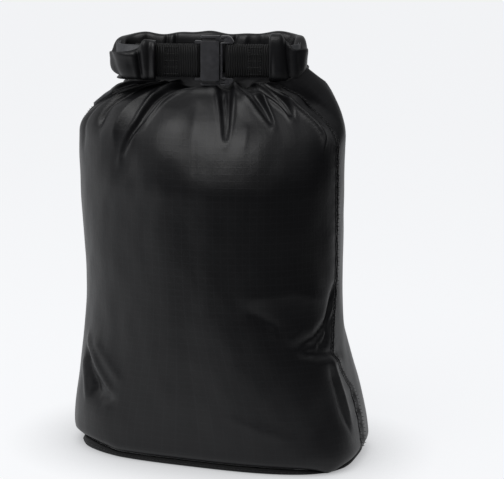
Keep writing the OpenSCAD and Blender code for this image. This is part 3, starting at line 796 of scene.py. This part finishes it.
def even_path(points, step):
    """The same path as points, resampled at an even step."""
    pts = np.array(points, float)
    at = np.concatenate([[0], np.cumsum(np.linalg.norm(np.diff(pts, axis=0), axis=1))])
    n = max(2, int(at[-1] / step) + 1)
    d = np.linspace(0, at[-1], n)
    return np.stack([np.interp(d, at, pts[:, k]) for k in range(pts.shape[1])], -1)


def repeat_group():
    """Geometry nodes: copies a unit along each edge chain of a mesh at an even pitch, turned with the chain."""
    tree = bpy.data.node_groups.new("repeat_along", "GeometryNodeTree")
    face = tree.interface
    face.new_socket("Geometry", in_out="INPUT", socket_type="NodeSocketGeometry")
    face.new_socket("Geometry", in_out="OUTPUT", socket_type="NodeSocketGeometry")
    face.new_socket("Unit", in_out="INPUT", socket_type="NodeSocketObject")
    face.new_socket("Pitch", in_out="INPUT", socket_type="NodeSocketFloat")
    face.new_socket("Material", in_out="INPUT", socket_type="NodeSocketMaterial")
    face.new_socket("Wobble", in_out="INPUT", socket_type="NodeSocketFloat")
    source = add_node(tree, "NodeGroupInput")
    curve = add_node(tree, "GeometryNodeMeshToCurve", {"Mesh": source.outputs["Geometry"]})
    even = add_node(
        tree,
        "GeometryNodeResampleCurve",
        {"Curve": curve.outputs[0], "Length": source.outputs["Pitch"]},
        mode="LENGTH",
    )
    tangent = add_node(tree, "GeometryNodeInputTangent")
    turn = add_node(
        tree, "FunctionNodeAlignRotationToVector", {"Vector": tangent.outputs[0]}, axis="X", pivot_axis="Z"
    )
    low = add_node(tree, "ShaderNodeMath", {0: source.outputs["Wobble"], 1: -1.0}, operation="MULTIPLY")
    chance = add_node(
        tree, "FunctionNodeRandomValue", {"Seed": 7}, data_type="FLOAT_VECTOR"
    )
    spread = add_node(tree, "ShaderNodeCombineXYZ", {2: source.outputs["Wobble"]})
    lows = add_node(tree, "ShaderNodeCombineXYZ", {2: low.outputs[0]})
    tree.links.new(lows.outputs[0], chance.inputs[0])
    tree.links.new(spread.outputs[0], chance.inputs[1])
    unit = add_node(tree, "GeometryNodeObjectInfo", {"Object": source.outputs["Unit"]})
    placed = add_node(
        tree,
        "GeometryNodeInstanceOnPoints",
        {"Points": even.outputs[0], "Instance": unit.outputs["Geometry"], "Rotation": turn.outputs[0]},
    )
    jitter = add_node(
        tree, "GeometryNodeRotateInstances", {"Instances": placed.outputs[0], "Rotation": chance.outputs[0]}
    )
    real = add_node(tree, "GeometryNodeRealizeInstances", {"Geometry": jitter.outputs[0]})
    paint = add_node(
        tree,
        "GeometryNodeSetMaterial",
        {"Geometry": real.outputs[0], "Material": source.outputs["Material"]},
    )
    add_node(tree, "NodeGroupOutput", {"Geometry": paint.outputs[0]})
    return tree


def repeated(name, chains, unit, pitch, material, wobble=0.0):
    """A mesh of units repeated along chains of points."""
    verts, edges = [], []
    for chain in chains:
        start = len(verts)
        verts += [tuple(q) for q in chain]
        edges += [(start + i, start + i + 1) for i in range(len(chain) - 1)]
    mesh = bpy.data.meshes.new(name)
    mesh.from_pydata(verts, edges, [])
    made = new_object(name, mesh)
    tree = bpy.data.node_groups.get("repeat_along") or repeat_group()
    nodes = made.modifiers.new("repeat", "NODES")
    nodes.node_group = tree
    values = {"Unit": unit, "Pitch": pitch, "Material": material, "Wobble": wobble}
    for item in tree.interface.items_tree:
        if item.in_out == "INPUT" and item.name in values:
            nodes[item.identifier] = values[item.name]
    apply_modifiers(made)
    made.data.shade_smooth()
    return made


def capsule(name, length, radius, height=None):
    """A unit to repeat: a stitch lying along X or, where height is given, a rib standing along Z."""
    import bmesh

    shape = bmesh.new()
    if height is None:
        bmesh.ops.create_uvsphere(shape, u_segments=8, v_segments=6, radius=radius)
        for vert in shape.verts:
            x, y, z = vert.co
            vert.co = (z * length / (2 * radius), y, x * 0.8)
    else:
        bmesh.ops.create_cone(shape, segments=6, radius1=1, radius2=1, depth=height, cap_ends=True)
        cuts = [e for e in shape.edges if abs(e.verts[0].co.z - e.verts[1].co.z) > height / 2]
        bmesh.ops.subdivide_edges(shape, edges=cuts, cuts=9)
        for vert in shape.verts:
            x, y, z = vert.co
            wave = 0.22 * MM * math.sin(z / MM * 1.9)
            vert.co = (x * length / 2 + wave, y * radius, z)
    mesh = bpy.data.meshes.new(name)
    shape.to_mesh(mesh)
    shape.free()
    made = new_object(name, mesh)
    return made


# ---------------------------------------------------------------- operators


class DRYBAG_OT_materials(bpy.types.Operator):
    """Make the cloth, webbing, thread, buckle and tape materials"""

    bl_idname = "drybag.materials"
    bl_label = "Materials"

    def execute(self, context):
        colours = context.scene.dry_bag.colours
        coated_ripstop(colours.cloth)
        ribbed_webbing(colours.webbing)
        bonded_thread(colours.thread)
        moulded_acetal(colours.buckle)
        sealed_tape(colours.tape)
        return {"FINISHED"}


class DRYBAG_OT_stage(bpy.types.Operator):
    """Make the camera, the pale floor and the soft studio lights"""

    bl_idname = "drybag.stage"
    bl_label = "Stage"

    def execute(self, context):
        scene = context.scene
        azimuth, elevation, distance = math.radians(4), math.radians(12), 1.5
        back = Vector(
            (
                math.sin(azimuth) * math.cos(elevation),
                -math.cos(azimuth) * math.cos(elevation),
                math.sin(elevation),
            )
        )
        lens = bpy.data.cameras.new("camera")
        lens.lens, lens.sensor_width, lens.shift_x = 137.5, 36, 0.0853
        camera = new_object("camera", lens)
        camera.location = Vector((LOOP_X, 0, 0.165)) + back * distance
        camera.rotation_euler = back.to_track_quat("Z", "Y").to_euler()
        scene.camera = camera
        scene.view_settings.view_transform = "Standard"
        self.floor(scene.dry_bag.colours.floor)
        self.world(scene)
        self.light("top_softbox", (-0.3, -0.62, 1.25), (0, 0, 0.2), 0.9, 0.8, 8.0)
        self.light("left_strip", (-1.25, 0.25, 0.55), (0, 0, 0.15), 0.35, 1.2, 1.2)
        return {"FINISHED"}

    def floor(self, tone):
        # Paper sweep: seen evenly pale by the camera, but glowing with a painted light for all other rays,
        # which falls dark towards the front and the right, so that what the object mirrors falls dark there.
        material, tree, shader = new_material("pale_floor", Roughness=0.9, Specular_IOR_Level=0.0)
        coords = add_node(tree, "ShaderNodeTexCoord").outputs["Object"]
        split = add_node(tree, "ShaderNodeSeparateXYZ", {"Vector": coords})
        side = add_node(
            tree,
            "ShaderNodeMath",
            {0: split.outputs["X"], 1: SIDE_LEAN, 2: split.outputs["Y"]},
            operation="MULTIPLY_ADD",
        )
        # Painted light: for rays other than the camera's, the floor glows brighter towards the back and the left,
        # darker towards the front and the right.
        fall = map_range(tree, side.outputs[0], (-0.55, -0.05), (0.0, 0.85))
        path = add_node(tree, "ShaderNodeLightPath")
        seen = add_node(tree, "ShaderNodeMath", {0: path.outputs["Is Camera Ray"], 1: 0.93}, operation="MULTIPLY")
        glow = add_node(tree, "ShaderNodeMath", {0: fall, 1: seen.outputs[0]}, operation="MAXIMUM")
        # A painted soft contact shadow: the floor's glow is dimmed by ambient occlusion where the object stands.
        near = add_node(tree, "ShaderNodeAmbientOcclusion", {"Distance": 0.06}, samples=8)
        shadow = map_range(tree, near.outputs["AO"], (0.0, 1.0), (0.3, 1.0))
        dimmed = add_node(tree, "ShaderNodeMath", {0: glow.outputs[0], 1: shadow}, operation="MULTIPLY")
        tree.links.new(dimmed.outputs[0], shader.inputs["Emission Strength"])
        shader.inputs["Emission Color"].default_value = tone
        shader.inputs["Base Color"].default_value = shade(tone, 0.2)
        half = 6.0
        mesh = bpy.data.meshes.new("floor")
        corners = [(-half, -half, 0), (half, -half, 0), (half, half, 0), (-half, half, 0)]
        mesh.from_pydata(corners, [], [(0, 1, 2, 3)])
        mesh.materials.append(material)
        new_object("floor", mesh)

    def world(self, scene):
        world = bpy.data.worlds.new("studio")
        scene.world = world
        world.use_nodes = True
        tree = world.node_tree
        path = add_node(tree, "ShaderNodeLightPath")
        seen = tree.nodes["Background"]
        pale = colour_of("#f3f4f6")
        seen.inputs["Color"].default_value = pale
        # A pale cyclorama: bright overhead and behind, dim towards the camera's side of the room.
        ray = add_node(tree, "ShaderNodeTexCoord").outputs["Generated"]
        split = add_node(tree, "ShaderNodeSeparateXYZ", {"Vector": ray})
        left = add_node(
            tree,
            "ShaderNodeMath",
            {0: split.outputs["X"], 1: SIDE_LEAN, 2: split.outputs["Y"]},
            operation="MULTIPLY_ADD",
        )
        behind = map_range(tree, left.outputs[0], (-0.4, 0.7), (0.02, 0.58))
        above = map_range(tree, split.outputs["Z"], (0.25, 0.8), (0.0, 0.5))
        strength = add_node(tree, "ShaderNodeMath", {0: behind, 1: above}, operation="MAXIMUM")
        lit = add_node(tree, "ShaderNodeBackground", {"Color": pale, "Strength": strength.outputs[0]})
        both = add_node(
            tree, "ShaderNodeMixShader", {0: path.outputs["Is Camera Ray"], 1: lit.outputs[0], 2: seen.outputs[0]}
        )
        tree.links.new(both.outputs[0], tree.nodes["World Output"].inputs["Surface"])

    def light(self, name, place, aim, width, height, power):
        data = bpy.data.lights.new(name, "AREA")
        data.shape, data.size, data.size_y, data.energy = "RECTANGLE", width, height, power
        made = new_object(name, data)
        made.location = place
        made.rotation_euler = (Vector(place) - Vector(aim)).to_track_quat("Z", "Y").to_euler()


class DRYBAG_OT_sack(bpy.types.Operator):
    """Make the front, back and base panels with their folds, and the seam tapes inside them"""

    bl_idname = "drybag.sack"
    bl_label = "Sack"

    def execute(self, context):
        settings = context.scene.dry_bag
        rows, p, uv = sack_points(settings)
        cols = settings.sack.columns
        cloth = material_named("coated_ripstop")
        wide = np.concatenate([p, p[:, :1]], axis=1)
        last = uv[:, -1:] + (uv[:, 1:2] - uv[:, 0:1])
        wide_uv = np.concatenate([uv, last], axis=1)
        front = new_object("front_cloth", grid_mesh("front_cloth", wide[:, : cols + 1], wide_uv[:, : cols + 1]))
        back = new_object("back_cloth", grid_mesh("back_cloth", wide[:, cols:], wide_uv[:, cols:]))
        for piece, node in ((front, "front_panel"), (back, "back_panel")):
            thicken(piece, settings.sack.cloth_t)
            dress(piece, cloth, "bag", [node])
        self.base(p[0], cloth, settings.sack)
        self.tapes(p, rows, cols)
        self.bindings(p, rows, cols, settings.hardware)
        return {"FINISHED"}

    def base(self, rim, cloth, sack):
        """The base panel: rings from the rim to the middle, lying on the floor."""
        middle = rim.mean(axis=0)
        rings = [mix(rim, middle, t) for t in np.linspace(0, 1, 14)]
        p = np.array(rings)
        p[..., 2] = 0.0
        flat = np.stack([p[..., 0], p[..., 1]], -1)
        mesh = grid_mesh("base_cloth", p, flat, closed=True)
        weld = bmesh.new()
        weld.from_mesh(mesh)
        bmesh.ops.remove_doubles(weld, verts=weld.verts, dist=1e-6)
        weld.to_mesh(mesh)
        weld.free()
        piece = new_object("base_cloth", mesh)
        solid = piece.modifiers.new("cloth", "SOLIDIFY")
        solid.thickness, solid.offset = sack.cloth_t, -1.0
        apply_modifiers(piece)
        dress(piece, cloth, "bag", ["base_panel"])

    def bindings(self, p, rows, cols, k):
        """The felled side seams and the bound base seam, each with its stitching."""
        n = grid_normals(p)
        total = p.shape[1]
        cloth, thread = material_named("coated_ripstop"), material_named("bonded_thread")
        unit = capsule("stitch_unit", k.stitch_l, k.thread_r)
        side = slice(6, len(rows) - 16)
        for name, column in (("left_seam", 0), ("right_seam", cols)):
            j = np.arange(column - 2, column + 4) % total
            band, out = p[side][:, j], n[side][:, j]
            lean = np.array([0.15, 0.75, 0.85, 0.85, 0.75, 0.15])[None, :, None] * MM
            q = band + out * lean
            flat = np.stack(np.broadcast_arrays(np.arange(6)[None] * 1.2 * MM, rows[side, 0][:, None]), -1)
            piece = new_object(name, grid_mesh(name, q, flat))
            thicken(piece, 0.4 * MM)
            dress(piece, cloth, "bag")
            chains = [(q[:, 1] + out[:, 1] * 0.1 * MM).tolist(), (q[:, 4] + out[:, 4] * 0.1 * MM).tolist()]
            sewn = repeated(name + "_stitches", chains, unit, k.stitch_pitch, thread)
            dress(sewn, thread, "bag")
        # Tucked further under at the left corner, where the cloth hangs over it.
        tuck = bump_at((np.arange(total) / cols + 0.9) % 2, 0.94, 0.09)[:, None]
        rim = mix(p[3], p[1], tuck)
        half_h = rim[:, 2:] * 0.46 + 0.1 * MM
        angles = np.linspace(0, 2 * math.pi, 11)[:-1]
        outward = n[3] * [1, 1, 0]
        outward /= np.linalg.norm(outward, axis=1, keepdims=True)
        middle = np.column_stack([rim[:, :2], half_h])
        ring = [middle + outward * 1.5 * MM * math.cos(a) + half_h * [0, 0, math.sin(a)] for a in angles]
        ring = np.array(ring).transpose(1, 0, 2)
        mesh = grid_mesh("base_binding", np.concatenate([ring, ring[:1]]), closed=True)
        dress(new_object("base_binding", mesh), material_named("ribbed_webbing"), "bag")
        chain = (middle + outward * 1.55 * MM)[::3]
        closed_chain = np.concatenate([chain, chain[:1]]).tolist()
        sewn = repeated("base_stitches", [closed_chain], unit, k.stitch_pitch, thread)
        dress(sewn, thread, "bag")
        bpy.data.objects.remove(unit)

    def tapes(self, p, rows, cols):
        """Seam tapes on the inside of the side seams and the base seam."""
        n = grid_normals(p)
        inner = p - n * 1.6 * MM
        side = slice(10, len(rows) - 18)
        tape = material_named("sealed_tape")
        total = p.shape[1]
        for name, column in (("left_seam_tape", 0), ("right_seam_tape", cols)):
            j = np.arange(column - 3, column + 4) % total
            piece = new_object(name + "_film", grid_mesh(name + "_film", inner[side][:, j]))
            thicken(piece, 0.3 * MM)
            dress(piece, tape, "bag", [name])
        piece = new_object("base_seam_tape_film", grid_mesh("base_seam_tape_film", inner[1:7], closed=True))
        thicken(piece, 0.3 * MM)
        dress(piece, tape, "bag", ["base_seam_tape"])


class DRYBAG_OT_buckle(bpy.types.Operator):
    """Make the moulded buckle: copies of its CAD pieces with soft moulded edges"""

    bl_idname = "drybag.buckle"
    bl_label = "Buckle"

    def execute(self, context):
        bevel = context.scene.dry_bag.hardware.edge_bevel
        for node, body in (
            ("buckle_female", "bag"),
            ("buckle_male", "male_half"),
            ("upper_prong", "upper_prong_arm"),
            ("lower_prong", "lower_prong_arm"),
        ):
            self.moulded(node, body, bevel)
        return {"FINISHED"}

    def moulded(self, node, body, bevel):
        mesh = bpy.data.meshes.new(node + "_moulding")
        shape = bmesh.new()
        shape.from_mesh(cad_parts[node].data)
        bmesh.ops.remove_doubles(shape, verts=shape.verts, dist=1e-6)
        bmesh.ops.dissolve_limit(shape, angle_limit=math.radians(1), verts=shape.verts, edges=shape.edges)
        shape.to_mesh(mesh)
        shape.free()
        piece = new_object(node + "_moulding", mesh)
        soft = piece.modifiers.new("edges", "BEVEL")
        soft.width, soft.segments, soft.limit_method, soft.angle_limit = bevel, 2, "ANGLE", math.radians(35)
        apply_modifiers(piece)
        piece.data.shade_smooth()
        dress(piece, material_named("moulded_acetal"), body, [node])


class DRYBAG_OT_roll(bpy.types.Operator):
    """Make the rolled mouth, with the turn inside it and its two stiffener strips"""

    bl_idname = "drybag.roll"
    bl_label = "Roll"

    def execute(self, context):
        roll = context.scene.dry_bag.roll
        line = loop_line(roll)
        p, uv = roll_points(roll, line)
        piece = new_object("rolled_mouth", grid_mesh("rolled_mouth", p[::-1], uv[::-1]))
        solid = piece.modifiers.new("cloth", "SOLIDIFY")
        solid.thickness, solid.offset = 0.45 * MM, 0.0
        apply_modifiers(piece)
        dress(piece, material_named("coated_ripstop"), "bag", ["rolled_collar", "inner_turn"])
        self.strips(line)
        return {"FINISHED"}

    def strips(self, line):
        """The stiffener strips in the middle of the roll, showing a little at its open ends."""
        for name, out, node in (
            ("front_strip", -0.7 * MM, "front_stiffener"),
            ("back_strip", 0.7 * MM, "back_stiffener"),
        ):
            share = np.linspace(0.03, 0.97, 150)
            path = on_loop(line, share, np.full(150, out))
            low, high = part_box(node)
            mesh = band_mesh(name, path, low[2], high[2], 0.5 * MM, 2)
            dress(new_object(name, mesh), material_named("sealed_tape"), "bag", [node])


class DRYBAG_OT_webbing(bpy.types.Operator):
    """Make both pieces of ribbed webbing, looped round the buckle's bars, and their bar tacks"""

    bl_idname = "drybag.webbing"
    bl_label = "Webbing"

    def execute(self, context):
        k = context.scene.dry_bag.hardware
        for side, body, sign in (("left", "bag", 1), ("right", "male_half", -1)):
            self.band(k, side, body, sign)
            self.tack(k, side, body)
        return {"FINISHED"}

    def band(self, k, side, body, sign):
        """One piece of webbing: a band folded round its bar, with a rib across it at every pick."""
        low, high = (np.array(v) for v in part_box(side + "_webbing"))
        middle_y = (low[1] + high[1]) / 2
        loop_r = (high[1] - low[1]) / 2 - k.web_t / 2
        bar_x = (high[0] - k.web_t / 2 - loop_r) if sign > 0 else (low[0] + k.web_t / 2 + loop_r)
        tail_x = low[0] if sign > 0 else high[0]
        arc = [
            (bar_x + sign * loop_r * math.cos(a), middle_y + loop_r * math.sin(a))
            for a in np.radians(np.linspace(-90, 90, 19))
        ]
        join = 15 * MM
        near = bar_x - sign * join
        lay = k.web_t / 2 + 0.05 * MM
        front = [(tail_x, middle_y - lay), (near, middle_y - lay)]
        blend = [
            (mix(near, bar_x, t), middle_y - mix(lay, loop_r, ease(t))) for t in np.linspace(0, 1, 9)[1:-1]
        ]
        rear = [(x, 2 * middle_y - y) for x, y in (front + blend)[::-1]]
        path = even_path(front + blend + arc + rear, 0.6 * MM)
        mesh = band_mesh(side + "_strap", path, low[2] + 0.5 * MM, high[2] - 0.5 * MM, k.web_t - 0.6 * MM, 4)
        cloth = material_named("ribbed_webbing")
        core = dress(new_object(side + "_strap", mesh), cloth, body, [side + "_webbing"])
        t = np.gradient(path, axis=0)
        t /= np.linalg.norm(t, axis=1, keepdims=True)
        middle_z = (low[2] + high[2]) / 2
        unit = capsule("rib_unit", k.rib_pitch * 0.7, k.web_t / 2 + 0.06 * MM, high[2] - low[2])
        chain = np.column_stack([path, np.full(len(path), middle_z)])
        ribs = repeated(side + "_strap_ribs", [chain], unit, k.rib_pitch, cloth, 0.06)
        bpy.data.objects.remove(unit)
        dress(ribs, cloth, body)
        return core

    def tack(self, k, side, body):
        """A bar tack: close rows of stitches through both layers of the webbing."""
        low, high = (np.array(v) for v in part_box(side + "_bar_tack"))
        unit = capsule("stitch_unit", k.stitch_l, k.thread_r)
        y = low[1] + 0.34 * MM
        chains = []
        for z in np.linspace(low[2] + 1 * MM, high[2] - 1 * MM, 5):
            chains.append([(x, y, z) for x in np.linspace(low[0], high[0], 8)])
        for x in (low[0] + 0.4 * MM, high[0] - 0.4 * MM):
            chains.append([(x, y, z) for z in np.linspace(low[2] + 1 * MM, high[2] - 1 * MM, 12)])
        made = repeated(side + "_tack_stitches", chains, unit, 1.9 * MM, material_named("bonded_thread"))
        bpy.data.objects.remove(unit)
        dress(made, material_named("bonded_thread"), body, [side + "_bar_tack"])


class DRYBAG_PT_panel(bpy.types.Panel):
    """Lists the steps that build the dry bag"""

    bl_idname = "DRYBAG_PT_panel"
    bl_label = "Dry bag"
    bl_space_type = "VIEW_3D"
    bl_region_type = "UI"
    bl_category = "Dry bag"

    def draw(self, context):
        for step in STEPS:
            self.layout.operator(step.bl_idname)


STEPS = (
    DRYBAG_OT_materials,
    DRYBAG_OT_stage,
    DRYBAG_OT_sack,
    DRYBAG_OT_roll,
    DRYBAG_OT_webbing,
    DRYBAG_OT_buckle,
)
CLASSES = (DryBagSack, DryBagRoll, DryBagHardware, DryBagColours, DryBagSettings, *STEPS, DRYBAG_PT_panel)


def register():
    for cls in CLASSES:
        bpy.utils.register_class(cls)
    bpy.types.Scene.dry_bag = PointerProperty(type=DryBagSettings)


def unregister():
    del bpy.types.Scene.dry_bag
    for cls in reversed(CLASSES):
        bpy.utils.unregister_class(cls)


def main():
    register()
    bpy.ops.drybag.materials()
    bpy.ops.drybag.stage()
    bpy.ops.drybag.sack()
    bpy.ops.drybag.roll()
    bpy.ops.drybag.webbing()
    bpy.ops.drybag.buckle()


if __name__ == "__main__":
    main()
